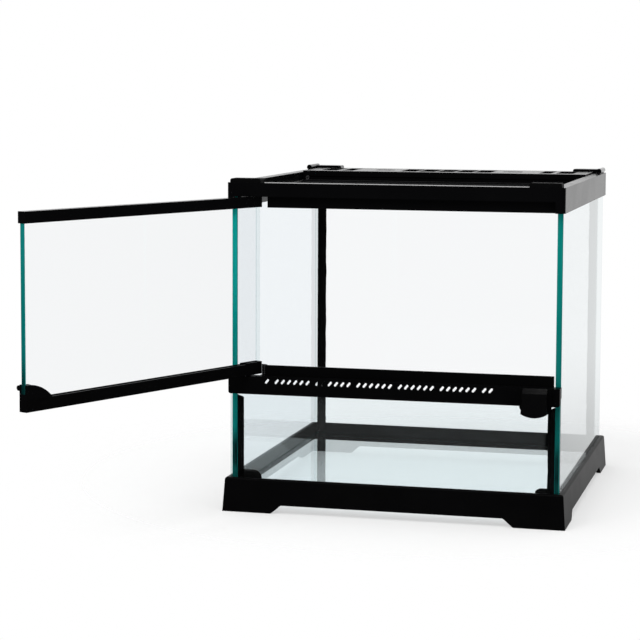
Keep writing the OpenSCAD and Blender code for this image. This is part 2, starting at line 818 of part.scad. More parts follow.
module vent_mesh() {
    edge = rib_w * 0.8;
    half_d = window_d / 2 + edge;
    half_w = (window_count * (window_w + rib_w) - rib_w) / 2 + edge;
    y0 = panel_mid - half_d;
    y1 = panel_mid + half_d;
    color([0.1, 0.1, 0.1]) {
        mesh_sheet([-half_w, y0, plate_z - mesh_t], [half_w, y1, plate_z], window_w / 2);
        both_sides()
        mesh_sheet([outer_window_x - edge, y0, plate_z - mesh_t],
            [outer_window_x + window_w + edge, y1, plate_z], window_w / 2);
    }
}

// The cover under the right inlet's side of the plate, drawn with the inlet open
module cable_cover() {
    color([0.06, 0.06, 0.065]) {
        box([cover_x, panel_mid - cover_d / 2, cover_z], [cover_x + cover_len, panel_mid + cover_d / 2,
            cover_z + cover_t]);
        box([grip_x, panel_mid - grip_w / 2, cover_z], [grip_x + grip_len, panel_mid + grip_w / 2,
            panel_top - cover_gap]);
    }
}

module right_cable_cover() {
    cable_cover();
}

module left_cable_cover() {
    mirror([1, 0, 0]) cable_cover();
}

module panel_screws() {
    color("silver")
    both_sides() {
        rod_y(panel_x - screw_in, screw_z, screw_r, panel_y0 + screw_head_t / 2, panel_y0 + panel_t + lug_t);
        rod_y(panel_x - screw_in, screw_z, screw_head_r, panel_y0, panel_y0 + screw_head_t);
    }
}

module door_pane() {
    color([0.75, 0.95, 0.92, SEE_THROUGH])
    on_open_door()
    door_groove(door_glass_x1, door_glass_z0, door_glass_z1);
}

// A bar of the door's full length, whose hinge end keeps inside the circle it turns in
module door_bar(z0, z1) {
    r = door_t / 2;
    box([hinge_x, door_y - r, z0], [door_x1, door_y + r, z1]);
    intersection() {
        box([door_x0 - OVER, door_y - r, z0], [hinge_x + OVER, door_y + r, z1]);
        post(hinge_x, door_y, tail, z0 - OVER, z1 + OVER);
    }
}

// The room taken by the door's pane between two heights, from the hinge end to x1
module door_groove(x1, z0, z1) {
    box([door_x0 + door_skin, door_y - glass_t / 2, z0], [x1, door_y + glass_t / 2, z1]);
}

module door_top_rail() {
    color([0.03, 0.03, 0.035])
    on_open_door()
    difference() {
        door_bar(door_top_low, door_z1);
        door_groove(door_glass_x1, door_top_low - OVER, door_glass_z1);
        post(hinge_x, door_y, pin_r, door_glass_z1 + pin_end_gap, door_z1 + OVER);
    }
}

module door_lower_rail() {
    color([0.03, 0.03, 0.035])
    on_open_door()
    difference() {
        union() {
            door_bar(door_z0, door_low_top);
            // thicker stretch over the hinge
            intersection() {
                door_bar(door_low_top - OVER, door_low_top + pad_h);
                box([door_x0 - OVER, door_y - door_t, 0], [hinge_x + pad_len, door_y + door_t, body_h]);
            }
        }
        door_groove(door_glass_x1, door_glass_z0, door_low_top + pad_h + OVER);
        post(hinge_x, door_y, pin_r, door_z0 - OVER, door_glass_z0 - pin_end_gap);
        tongue_slot(door_z0 - OVER, door_z0 + tongue_bite + pocket_gap);
    }
}

// A cap on the free lower corner of the pane, with a quarter-round top
module door_corner_block() {
    color([0.03, 0.03, 0.035])
    on_open_door()
    difference() {
        along_y(door_y - door_t / 2, door_y + door_t / 2)
        shoulder(door_x1 - block_len, door_x1, door_low_top, door_low_top + block_h, block_len * 0.95,
            block_h * 0.96);
        door_groove(door_glass_x1, door_low_top - OVER, door_low_top + block_h + OVER);
        // the pane's edge shows in the upper part of the block's end
        door_groove(door_x1 + OVER, door_low_top + block_h * 0.35, door_low_top + block_h + OVER);
    }
}

module door_pull() {
    r = pull_h / 2;
    z = door_low_top + block_h - r - 1;
    y = door_y - door_t / 2;
    color([0.03, 0.03, 0.035])
    on_open_door() {
        box([door_x1 - pull_len - 1, y - pull_h + r, z - r], [door_x1 - 1, y, z + r]);
        translate([door_x1 - pull_len - 1, y - pull_h + r, z]) rotate([0, 90, 0])
        cylinder(r = r, h = pull_len);
    }
}

module upper_hinge_pin() {
    color("silver")
    post(hinge_x, door_y, pin_r, door_glass_z1 + pin_end_gap, band_z + pin_out);
}

// The lower pin has a collar that carries the door
module lower_hinge_pin() {
    collar_w = 1.2;
    color("silver") {
        post(hinge_x, door_y, pin_r, rail_ledge - pin_out, door_glass_z0 - pin_end_gap);
        post(hinge_x, door_y, pin_r + collar_w, rail_ledge + pin_end_gap, door_z0);
    }
}

base_frame();
glazing_bed();
floor_pane();
left_pane();
right_pane();
back_pane();
front_pane();
rear_corner_beads();
front_corner_beads();
vent_rail();
lock_housing();
lock_knob();
lock_spindle();
lock_tongue();
top_frame();
front_corner_caps();
rear_corner_caps();
screen_frame();
screen_mesh();
rear_panel();
vent_mesh();
left_cable_cover();
right_cable_cover();
panel_screws();
door_pane();
door_top_rail();
door_lower_rail();
door_corner_block();
door_pull();
upper_hinge_pin();
lower_hinge_pin();
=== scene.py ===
# %% [markdown]
# # A glass terrarium, dressed for a studio shot
# The frame comes from the CAD model: base, panes, rails, door and lock, all in metres, with the floor at
# z = 0. This lesson gives each moulding its softened edges, each pane its ground green edge, each corner
# its bead of sealant, and the lid its woven wire. Nothing of the frame is moved: a piece either keeps its
# CAD mesh and gets a finish, or a better mesh stands for it in exactly the same place.

import json
import math

import bmesh
import bpy
from mathutils import Matrix, Vector


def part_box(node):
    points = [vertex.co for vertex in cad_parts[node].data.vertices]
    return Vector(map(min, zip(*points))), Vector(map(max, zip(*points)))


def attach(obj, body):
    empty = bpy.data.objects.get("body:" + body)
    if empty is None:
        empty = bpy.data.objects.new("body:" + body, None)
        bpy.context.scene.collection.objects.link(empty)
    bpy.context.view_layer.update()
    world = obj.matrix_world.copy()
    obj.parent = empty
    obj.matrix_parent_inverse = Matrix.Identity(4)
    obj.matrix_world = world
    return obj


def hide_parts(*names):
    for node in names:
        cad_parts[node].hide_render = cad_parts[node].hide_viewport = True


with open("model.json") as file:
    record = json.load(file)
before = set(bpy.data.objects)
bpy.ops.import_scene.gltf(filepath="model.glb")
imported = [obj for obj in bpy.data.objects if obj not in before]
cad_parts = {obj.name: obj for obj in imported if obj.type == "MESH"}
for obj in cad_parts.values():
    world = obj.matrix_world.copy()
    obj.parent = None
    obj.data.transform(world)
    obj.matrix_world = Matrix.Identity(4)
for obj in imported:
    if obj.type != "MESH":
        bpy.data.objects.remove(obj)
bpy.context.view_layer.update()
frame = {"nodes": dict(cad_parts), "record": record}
nodes = frame["nodes"]
body_of_node = {n: b for b, members in frame["record"]["behaviour"]["bodies"].items() for n in members}
slot_of_node = {s["node"]: s["material_slot"] for s in frame["record"]["subparts"]}
MM = 0.001
TOUCHING = 0.001 * MM

# %% [markdown]
# ## Arithmetic on sockets
# A finish is a small formula: a little noise times a mask, one minus something, and so on. It could be
# wired by hand in the shader editor, or written out as a list of nodes and links, but both hide the idea.
# So a class wraps a socket and turns Python's operators into Math nodes, and a formula reads as one line.


# %% Terms
class Term:
    """An output socket that can be used in arithmetic."""

    def __init__(self, graph, socket):
        self.graph = graph
        self.socket = socket

    def math(self, operation, *others, swap=False):
        """A Math node on this value and the others; swap puts this value last."""
        values = [self, *others]
        if swap:
            values.reverse()
        return self.graph.node("ShaderNodeMath", {"operation": operation}, dict(enumerate(values)))

    def __add__(self, other):
        return self.math("ADD", other)

    def __sub__(self, other):
        return self.math("SUBTRACT", other)

    def __rsub__(self, other):
        return self.math("SUBTRACT", other, swap=True)

    def __mul__(self, other):
        return self.math("MULTIPLY", other)

    def __truediv__(self, other):
        return self.math("DIVIDE", other)

    __radd__ = __add__
    __rmul__ = __mul__

    def size(self):
        """The value without its sign."""
        return self.math("ABSOLUTE")

    def least(self, other):
        """The smaller of two values."""
        return self.math("MINIMUM", other)

    def most(self, other):
        """The larger of two values."""
        return self.math("MAXIMUM", other)

    def rise(self, low, high):
        """0 below low and 1 above high, with a smooth rise between them."""
        settings = {"interpolation_type": "SMOOTHSTEP"}
        sockets = {"Value": self, "From Min": low, "From Max": high, "To Min": 0.0, "To Max": 1.0}
        return self.graph.node("ShaderNodeMapRange", settings, sockets)

    def split(self):
        """The X, Y and Z of a vector, as three terms."""
        xyz = self.graph.node("ShaderNodeSeparateXYZ", {}, {0: self})
        return [xyz.other(axis) for axis in "XYZ"]

    def other(self, name):
        """Another output of the same node."""
        return Term(self.graph, self.socket.node.outputs[name])


print("terms can be added, scaled and compared")

# %% [markdown]
# A graph wraps the node tree itself, for a material, the world or geometry alike. Every other node comes
# from one method, which takes the node's type, its settings and what goes into its sockets. Settings go
# in first, because a setting such as a Math node's operation decides which sockets there are.


# %% The graph
class Graph:
    """A node tree that is written as calls."""

    def __init__(self, tree):
        self.tree = tree
        tree.nodes.clear()

    def node(self, kind, settings, sockets):
        """Adds a node, sets its settings first and then its sockets, and returns its first output."""
        made = self.tree.nodes.new(kind)
        for name, value in settings.items():
            setattr(made, name, value)
        for key, value in sockets.items():
            if isinstance(value, Term):
                self.tree.links.new(value.socket, made.inputs[key])
            else:
                made.inputs[key].default_value = value
        shown = [s for s in made.outputs if s.enabled]
        return Term(self, shown[0]) if shown else None


print("a graph makes any node")

# %% [markdown]
# ## Patterns that finishes share
# No real surface is even: it has grain, dust, ripples or wear. Image textures could carry them, but they
# need an unwrapped surface. Noise needs nothing but a position, so it is used for all of them. It is laid
# out in object coordinates, which are metres here, so a grain keeps its real size on a large frame and on
# a small cap alike.

# %% Patterns
UPWARD = (0.6, 0.95)


def new_finish(name):
    """An empty material and the graph of its nodes."""
    material = bpy.data.materials.new(name)
    material.use_nodes = True
    return material, Graph(material.node_tree)


def place(graph, stretch=(1, 1, 1)):
    """Object coordinates, stretched where a pattern runs one way."""
    at = graph.node("ShaderNodeTexCoord", {}, {}).other("Object")
    return graph.node("ShaderNodeMapping", {}, {"Vector": at, "Scale": stretch})


def noise(graph, scale, detail=3.0, stretch=(1, 1, 1)):
    """Noise with scale cycles to the metre, from 0 to 1."""
    sockets = {"Vector": place(graph, stretch), "Scale": scale, "Detail": detail}
    return graph.node("ShaderNodeTexNoise", {}, sockets)


def facing_up(graph):
    """1 on faces that look up, 0 on walls and undersides."""
    normal = graph.node("ShaderNodeTexCoord", {}, {}).other("Normal")
    return normal.split()[2].rise(*UPWARD)


def tint(graph, mask, low, high):
    """One colour where the mask is 0 and another where it is 1."""
    sockets = {0: mask, 6: (*low, 1), 7: (*high, 1)}
    return graph.node("ShaderNodeMix", {"data_type": "RGBA"}, sockets).other(2)


def close(graph, shader):
    """Ends a material with its output node."""
    graph.node("ShaderNodeOutputMaterial", {}, {"Surface": shader})


def bump(graph, height, depth, strength):
    """A bumped normal: depth is in metres, and strength goes from 0 to 1."""
    return graph.node("ShaderNodeBump", {}, {"Height": height, "Distance": depth, "Strength": strength})


print("patterns are laid out in metres")

# %% [markdown]
# ## Moulded plastic
# The mouldings are black throughout. A polished mould leaves a nearly mirror-like skin with a very slight
# waviness, so the gloss finish has a low roughness and a soft bump. The base, the rail across the front,
# the lock's housing and the door's lower rail come from a finely sparked mould: the same black with a
# grain a fraction of a millimetre across and a duller shine. The knob and the rear caps are polished a
# little brighter, the cable covers are satin, and the front caps are dull. Dust lightens upward faces a
# trace, which keeps the black from looking cut out. Each skin could be a material built on its own, but
# they are one plastic from different moulds, so one function makes them all from a few numbers.
#
# Seen at a grazing angle, even dull plastic reflects like a mirror. A low specular level holds that back,
# so the flanks that turn away from the eye come out dark grey and not white.

# %% Black plastics
CLOUD_SCALE = 35.0
DUST_SCALE = 420.0
DUST_SPOTS = (0.45, 0.8)
DUST_LIGHTENS = 0.35
CLOUD_LIGHTENS = 0.1
LIFT = 0.012
CLOUD_DULLS = 0.08
DUST_DULLS = 0.12
GRAIN_STRENGTH = 0.6


def moulded(name, black, dull, grain_scale, grain_depth, specular):
    """Black plastic of a roughness, with so many grains to the metre, each so many metres high."""
    material, graph = new_finish(name)
    cloud = noise(graph, CLOUD_SCALE)
    grain = noise(graph, grain_scale, 2.0)
    dust = facing_up(graph) * noise(graph, DUST_SCALE, 6.0).rise(*DUST_SPOTS)
    shade = tint(graph, dust * DUST_LIGHTENS + cloud * CLOUD_LIGHTENS, black, [LIFT + c for c in black])
    shader = graph.node(
        "ShaderNodeBsdfPrincipled",
        {},
        {
            "Base Color": shade,
            "Roughness": cloud * CLOUD_DULLS + dust * DUST_DULLS + dull,
            "Specular IOR Level": specular,
            "Normal": bump(graph, grain, grain_depth, GRAIN_STRENGTH),
        },
    )
    close(graph, shader)
    return material


gloss_black = moulded("gloss black plastic", (0.002, 0.002, 0.0023), 0.14, 260.0, 0.00004, 0.07)
grained_black = moulded("grained black plastic", (0.0016, 0.0016, 0.0018), 0.26, 2600.0, 0.00001, 0.018)
satin_black = moulded("satin black plastic", (0.004, 0.004, 0.0045), 0.3, 1800.0, 0.00001, 0.4)
soft_black = moulded("soft black plastic", (0.002, 0.002, 0.0022), 0.5, 900.0, 0.00003, 0.03)
polished_black = moulded("polished black plastic", (0.002, 0.002, 0.0022), 0.06, 260.0, 0.00002, 0.3)
PLASTICS = (polished_black, gloss_black, grained_black, satin_black, soft_black)
print("plastics:", ", ".join(p.name for p in PLASTICS))

# %% [markdown]
# ## Float glass
# A pane shows three things: what is behind it, a reflection that grows as the eye grazes it, and a green
# edge. A refracting glass shader would give all three, but it is slow, and it darkens where a ray runs
# out of bounces. Refraction through 5 mm of flat glass hardly moves what is behind, so the faces mix a
# clear shader with a mirror by Fresnel, on the near face only. A sheet reflects from both of its
# surfaces, so that mirror is made stronger than one surface's.
#
# Where mist has dried on a pane, a share of the face turns from clear to pale matt.

# %% Glass faces
GLASS_IOR = 1.5
BOTH_SURFACES = 1.5
REFLECTS = (0.93, 0.99, 1.0)
PASSES = (0.99, 0.996, 1.0)
SMEAR_SCALE = 22.0
SMEAR_SPOTS = (0.5, 0.75)
SMEAR_DULLS = 0.04
POLISH = 0.01


def clear_glass(name, film=None, passes=PASSES, mirror=BOTH_SURFACES):
    """The faces of a pane.

    film(graph) is the share that mist hides, passes the light that each face lets by, and mirror how
    many times one surface's reflection the pane gives.
    """
    material, graph = new_finish(name)
    near = 1 - graph.node("ShaderNodeNewGeometry", {}, {}).other("Backfacing")
    shine = (graph.node("ShaderNodeFresnel", {}, {"IOR": GLASS_IOR}) * near * mirror).least(1.0)
    hidden = shine + film(graph) * near * (1 - shine) if film else shine
    smear = noise(graph, SMEAR_SCALE, 4.0).rise(*SMEAR_SPOTS)
    sockets = {
        "Base Color": (*REFLECTS, 1),
        "Metallic": shine / (hidden + 0.001),
        "Roughness": smear * SMEAR_DULLS + POLISH,
    }
    skin = graph.node("ShaderNodeBsdfPrincipled", {}, sockets)
    through = graph.node("ShaderNodeBsdfTransparent", {}, {"Color": (*passes, 1)})
    close(graph, graph.node("ShaderNodeMixShader", {}, {0: hidden, 1: through, 2: skin}))
    return material


pane_face = clear_glass("clear glass")
print("faces:", pane_face.name)

# %% [markdown]
# The green comes from light that has gone the long way through the sheet, and only the edges show it.
# Glass that absorbs red light would give it too, at the price of many bounces, so the edges are a finish
# of their own, with light and shade painted into their colour: painted shade, almost black, over the
# heights that get no light, green painted light above them, painted a little brighter towards the top,
# and a faint painted glow at the foot. The edges on the far side are seen through the sheet, where they
# only tint. Three greens are mixed, painted brighter or dimmer because the panes catch different amounts
# of light.

# %% Glass edges
# Painted light and shade for the edges: a near-black painted shade, painted lit greens, a painted climb
# towards the top and a painted glow at the foot.
GREEN_PAINTED_SHADE = (0.0, 0.008, 0.008)
GREEN_PAINTED_BRIGHT = (0.0, 0.41, 0.37)
GREEN_PAINTED_MIDDLE = (0.0, 0.24, 0.21)
GREEN_PAINTED_DIM = (0.0, 0.2, 0.185)
LOW_BAND = (0.058, 0.08)
DOOR_BAND = (0.14, 0.178)
CLIMB = (0.08, 0.27)
LIT_LOW = 0.46
LIT_CLIMB = 0.4
FOOT_GLOW = (0.036, 0.044)
FOOT_SHARE = 0.14
STREAK_SCALE = 300.0
STREAK_STRETCH = (1, 1, 0.06)
STREAK_SHARE = 0.14
STREAK_DULLS = 0.2
EDGE_DULL = 0.2
FAR_EDGE = (0.93, 0.975, 0.975)
EDGE_SHINE = 0.1


def ground_edge(name, green, band):
    """The edges of a pane, seen from outside the sheet: green painted light, and painted shade below the
    band of heights.
    """
    material, graph = new_finish(name)
    far = graph.node("ShaderNodeNewGeometry", {}, {}).other("Backfacing")
    height = place(graph).split()[2]
    streak = noise(graph, STREAK_SCALE, 3.0, STREAK_STRETCH).rise(0.3, 0.7)
    foot = 1 - height.rise(*FOOT_GLOW)
    body = height.rise(*band) * (height.rise(*CLIMB) * LIT_CLIMB + LIT_LOW)
    lit = (body + foot * FOOT_SHARE + streak * STREAK_SHARE).least(1.0)
    colour = tint(graph, lit, GREEN_PAINTED_SHADE, green)
    sockets = {
        "Base Color": colour,
        "Roughness": streak * STREAK_DULLS + EDGE_DULL,
        "Specular IOR Level": EDGE_SHINE,
    }
    edge = graph.node("ShaderNodeBsdfPrincipled", {}, sockets)
    through = graph.node("ShaderNodeBsdfTransparent", {}, {"Color": (*FAR_EDGE, 1)})
    close(graph, graph.node("ShaderNodeMixShader", {}, {0: far, 1: edge, 2: through}))
    return material


pane_edge = ground_edge("glass edge with painted light", GREEN_PAINTED_MIDDLE, LOW_BAND)
# The left pane's edges are painted brighter and the door's painted dimmer: lit and shaded copies of one
# green edge.
OTHER_EDGE = {
    "left_pane": ground_edge("glass edge painted brighter", GREEN_PAINTED_BRIGHT, LOW_BAND),
    "door_pane": ground_edge("door glass edge painted dimmer", GREEN_PAINTED_DIM, DOOR_BAND),
}
print("edges:", pane_edge.name, len(OTHER_EDGE), "others")

# %% [markdown]
# The arris is the narrow face that the grinding wheel leaves along every edge. It is frosted, so it
# scatters light and draws a fine line round the pane. It could be painted along the edge by a mask, but
# as a face of its own it needs only a plain finish: noise between two greens, and a thin grey line where
# it is seen through the sheet.

# %% The frosted arris
FROST_DEEP = (0.0, 0.09, 0.085)
FROST_PALE = (0.0, 0.3, 0.28)
FROST_SCALE = 900.0
FROST_DULLS = 0.3
FAR_ARRIS = (0.72, 0.8, 0.81)


def frosted_arris(name):
    """The narrow faces along the edges: frosted green outside, a thin grey line through the glass."""
    material, graph = new_finish(name)
    far = graph.node("ShaderNodeNewGeometry", {}, {}).other("Backfacing")
    frost = noise(graph, FROST_SCALE, 3.0)
    sockets = {
        "Base Color": tint(graph, frost, FROST_DEEP, FROST_PALE),
        "Roughness": frost * FROST_DULLS + 0.3,
        "Specular IOR Level": EDGE_SHINE,
    }
    skin = graph.node("ShaderNodeBsdfPrincipled", {}, sockets)
    through = graph.node("ShaderNodeBsdfTransparent", {}, {"Color": (*FAR_ARRIS, 1)})
    close(graph, graph.node("ShaderNodeMixShader", {}, {0: far, 1: skin, 2: through}))
    return material


pane_arris = frosted_arris("frosted arris")
print("arris:", pane_arris.name)

# %% [markdown]
# ## Sealant
# Silicone sealant cures to a rubbery satin with small ripples from the finger that smoothed it. They are
# a fraction of a millimetre deep, so a bump draws them as well as geometry would. They run up the bead,
# so the noise is stretched along the height.

# %% The sealant's finish
RIPPLE_SCALE = 160.0
RIPPLE_STRETCH = (1, 1, 0.35)
RIPPLE_DEPTH = 0.2 * MM


def sealant_finish():
    """Black silicone with ripples that run up the bead."""
    material, graph = new_finish("black sealant")
    ripple = noise(graph, RIPPLE_SCALE, 3.0, RIPPLE_STRETCH)
    shader = graph.node(
        "ShaderNodeBsdfPrincipled",
        {},
        {
            "Base Color": tint(graph, ripple, (0.0015, 0.0015, 0.0016), (0.004, 0.004, 0.004)),
            "Roughness": ripple * 0.2 + 0.22,
            "Specular IOR Level": 0.15,
            "Normal": bump(graph, ripple, RIPPLE_DEPTH, 0.4),
        },
    )
    close(graph, shader)
    return material


sealant = sealant_finish()
print("finish:", sealant.name)

# %% [markdown]
# ## Steel
# The hinge pins, the lock's spindle and tongue, and the screws are bright steel with fine turned lines.
# An anisotropic shader could spread the highlight across such lines, but on pieces this small stretched
# noise in the roughness and the bump looks the same and is simpler.

# %% The steel's finish
LINE_SCALE = 500.0
LINE_STRETCH = (1, 6, 1)
LINE_DEPTH = 0.02 * MM


def steel_finish():
    """Bright steel with fine turned lines."""
    material, graph = new_finish("bright steel")
    lines = noise(graph, LINE_SCALE, 4.0, LINE_STRETCH)
    shader = graph.node(
        "ShaderNodeBsdfPrincipled",
        {},
        {
            "Base Color": tint(graph, lines, (0.55, 0.55, 0.56), (0.72, 0.72, 0.73)),
            "Metallic": 1.0,
            "Roughness": lines * 0.2 + 0.18,
            "Normal": bump(graph, lines, LINE_DEPTH, 0.4),
        },
    )
    close(graph, shader)
    return material


steel = steel_finish()
print("finish:", steel.name)

# %% [markdown]
# ## Wire
# The screen's wire is enamelled black and a little worn. Real wear sits on the crown of each wire, but on
# a wire 0.3 mm thick pale spots from noise look the same, and they break up the mesh.

# %% The wire's finish, and the list of finishes
WEAR_SCALE = 700.0
WEAR_SPOTS = (0.5, 0.8)


def wire_finish():
    """Black enamelled wire, worn paler in spots."""
    material, graph = new_finish("enamelled wire")
    worn = noise(graph, WEAR_SCALE, 2.0).rise(*WEAR_SPOTS)
    shader = graph.node(
        "ShaderNodeBsdfPrincipled",
        {},
        {
            "Base Color": tint(graph, worn, (0.006, 0.006, 0.007), (0.03, 0.03, 0.031)),
            "Roughness": 0.75 - worn * 0.2,
            "Specular IOR Level": 0.04,
        },
    )
    close(graph, shader)
    return material


wire = wire_finish()
FINISHES = {
    "glass": pane_face,
    "gloss_black": gloss_black,
    "satin_black": satin_black,
    "sealant": sealant,
    "mesh": wire,
    "steel": steel,
}
print("finishes:", ", ".join(FINISHES))

# %% [markdown]
# ## Softened edges
# CAD edges are perfectly sharp, and a sharp edge never catches the light. Every moulded edge has a small
# radius, from a tenth of a millimetre on a pin to a millimetre on a cap, whose bright line is what the
# eye reads as plastic. The mesh itself could be bevelled, but modifiers leave it alone and keep the
# radius a number. The CAD mesh is loose triangles, so a Weld modifier joins them before a Bevel rounds
# what turns by more than its angle, and Weighted Normal keeps the flats flat.

# %% Radii and skins
BEVEL_FROM = 35
EDGE_RADIUS = {
    "base_frame": 0.6,
    "top_frame": 0.9,
    "vent_rail": 0.25,
    "lock_housing": 0.5,
    "lock_knob": 0.9,
    "lock_spindle": 0.1,
    "lock_tongue": 0.15,
    "front_corner_caps": 1.1,
    "rear_corner_caps": 0.6,
    "screen_frame": 0.3,
    "rear_panel": 0.3,
    "left_cable_cover": 0.25,
    "right_cable_cover": 0.25,
    "door_top_rail": 0.5,
    "door_lower_rail": 0.5,
    "door_corner_block": 0.5,
    "door_pull": 0.4,
    "upper_hinge_pin": 0.1,
    "lower_hinge_pin": 0.1,
}
# These mouldings are gloss black in the parts list but have a skin of their own.
OTHER_BLACK = {
    "base_frame": grained_black,
    "vent_rail": grained_black,
    "door_lower_rail": grained_black,
    "lock_housing": grained_black,
    "lock_knob": polished_black,
    "front_corner_caps": soft_black,
    "rear_corner_caps": polished_black,
}
print("radii from", min(EDGE_RADIUS.values()), "to", max(EDGE_RADIUS.values()), "mm")

# %% [markdown]
# These nodes keep their CAD shape. Each gets its finish and its own radius. The modifiers stay live.


# %% Soften the CAD nodes
def soften(obj, radius_mm):
    """Rounds an object's edges by modifiers alone, to a radius in millimetres."""
    weld = obj.modifiers.new("join triangles", "WELD")
    weld.merge_threshold = TOUCHING
    bevel = obj.modifiers.new("moulded edge", "BEVEL")
    bevel.width = radius_mm * MM
    bevel.segments = 2
    bevel.limit_method = "ANGLE"
    bevel.angle_limit = math.radians(BEVEL_FROM)
    bevel.harden_normals = False
    normals = obj.modifiers.new("flat flats", "WEIGHTED_NORMAL")
    normals.keep_sharp = True


for name, radius in EDGE_RADIUS.items():
    finish = OTHER_BLACK.get(name) or FINISHES[slot_of_node[name]]
    nodes[name].data.materials.clear()
    nodes[name].data.materials.append(finish)
    soften(nodes[name], radius)
print("softened", len(EDGE_RADIUS), "nodes")

# %% [markdown]
# ## Pieces that stand for a node
# Panes, beads, screens and screws need more than a softer edge. Each gets a new mesh in the frame's own
# metres, so that it fits without being moved, and is then handed over: it rides on a body, and the CAD
# nodes that it stands for are hidden. A copy of a CAD node has its triangles merged
# into flat faces first, so that a bevel finds whole edges.


# %% Helpers for pieces
def dress(obj, body, slot, *stands_for):
    """Hands a finished piece to the frame: it rides on its body and hides the nodes it stands for; slot is
    not used.
    """
    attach(obj, body)
    if stands_for:
        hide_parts(*stands_for)
    return obj


def clean_copy(node):
    """A bmesh of a CAD node with its triangles merged into flat faces."""
    bm = bmesh.new()
    bm.from_mesh(nodes[node].data)
    bmesh.ops.remove_doubles(bm, verts=bm.verts, dist=TOUCHING)
    bmesh.ops.dissolve_limit(bm, angle_limit=math.radians(1), verts=bm.verts, edges=bm.edges)
    return bm


def mesh_piece(name, bm, *materials):
    """A new object at the origin from a bmesh."""
    mesh = bpy.data.meshes.new(name)
    bm.to_mesh(mesh)
    bm.free()
    for material in materials:
        mesh.materials.append(material)
    obj = bpy.data.objects.new(name, mesh)
    bpy.context.collection.objects.link(obj)
    return obj


print("piece helpers are ready")

# %% [markdown]
# ## Panes with ground edges
# A pane is a slab whose edges have been ground: every long edge has a narrow arris, so that nobody is
# cut. A Bevel modifier could cut the arrises, but the pane needs three finishes, and those are easiest to
# give out on the finished mesh. So a copy of the CAD pane is merged into a clean box, its edges are
# bevelled by half a millimetre, and each face gets its finish by its size: the two large faces are clear,
# the next four are green edge, and the narrow rest is arris.

# %% Grind a pane
ARRIS = 0.5 * MM
PANES = ("floor_pane", "left_pane", "right_pane", "back_pane", "front_pane", "door_pane")


def ground_pane(node, face_finish=pane_face):
    """A pane with ground edges that stands for a CAD pane."""
    bm = clean_copy(node)
    bmesh.ops.bevel(bm, geom=bm.edges[:], offset=ARRIS, segments=1, affect="EDGES", profile=0.5)
    for rank, face in enumerate(sorted(bm.faces, key=lambda f: -f.calc_area())):
        face.material_index = 0 if rank < 2 else 1 if rank < 6 else 2
    pane = mesh_piece(node + "_ground", bm, face_finish, OTHER_EDGE.get(node, pane_edge), pane_arris)
    return dress(pane, body_of_node[node], "glass", node)


print("panes to grind:", len(PANES), "with an arris of", ARRIS, "m")

# %% [markdown]
# Not every pane is alike. The fixed lower pane carries a faint mist on its inner side, dried from
# spraying the substrate. It stops where the corner beads and their gussets are bonded to the glass, so
# its mask is bounded by the same sizes as those beads. That pane and the floor pane are a little greener
# than the rest. The floor pane is a stronger mirror, so that the rear corner shows in it, and the left
# pane is a weaker one, which keeps the black rim behind it dark.

# %% The panes that differ
bead_low, bead_high = [Vector(v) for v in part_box("front_corner_beads")]
base_high = Vector(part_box("base_frame")[1])
BEAD_W = 7 * MM
GUSSET_W = 24 * MM
GUSSET_TOP = base_high.z + 6.5 * MM
MIST_EDGE = 2 * MM
MIST = 0.022
LOW_TINT = (0.962, 0.99, 0.995)
FLOOR_MIRROR = 1.6
LEFT_TINT = (0.945, 0.96, 0.972)
LEFT_MIRROR = 0.75


def dried_mist(graph):
    """The share of the front pane that mist hides: none on the beads and gussets."""
    x, _, z = place(graph).split()
    wide = 1 - x.size().rise(bead_high.x - BEAD_W - MIST_EDGE, bead_high.x - BEAD_W)
    narrow = 1 - x.size().rise(bead_high.x - GUSSET_W - MIST_EDGE, bead_high.x - GUSSET_W)
    above = z.rise(GUSSET_TOP - MIST_EDGE / 2, GUSSET_TOP)
    cloud = noise(graph, 9.0, 5.0) * 0.5 + 0.75
    return narrow.most(wide * above) * cloud * MIST


OTHER_GLASS = {
    "front_pane": clear_glass("misted glass", dried_mist, LOW_TINT),
    "floor_pane": clear_glass("floor glass", None, LOW_TINT, FLOOR_MIRROR),
    "left_pane": clear_glass("side glass", None, LEFT_TINT, LEFT_MIRROR),
}
panes = [ground_pane(n, OTHER_GLASS.get(n, pane_face)) for n in PANES]
print("panes:", [p.name for p in panes])

# %% [markdown]
# ## A graph for geometry
# What repeats or follows a rule is grown by Geometry Nodes. Loops in Python could place the same parts,
# but a tree with named inputs keeps the rule in sight and every size in one place. A helper builds the
# tree, puts it on an empty object as a modifier, sets the inputs by their identifiers, and turns the
# evaluated result into a plain mesh, because the model's export drops live instances.


# %% Geometry helpers
SOCKETS = {float: "NodeSocketFloat", int: "NodeSocketInt", tuple: "NodeSocketVector"}


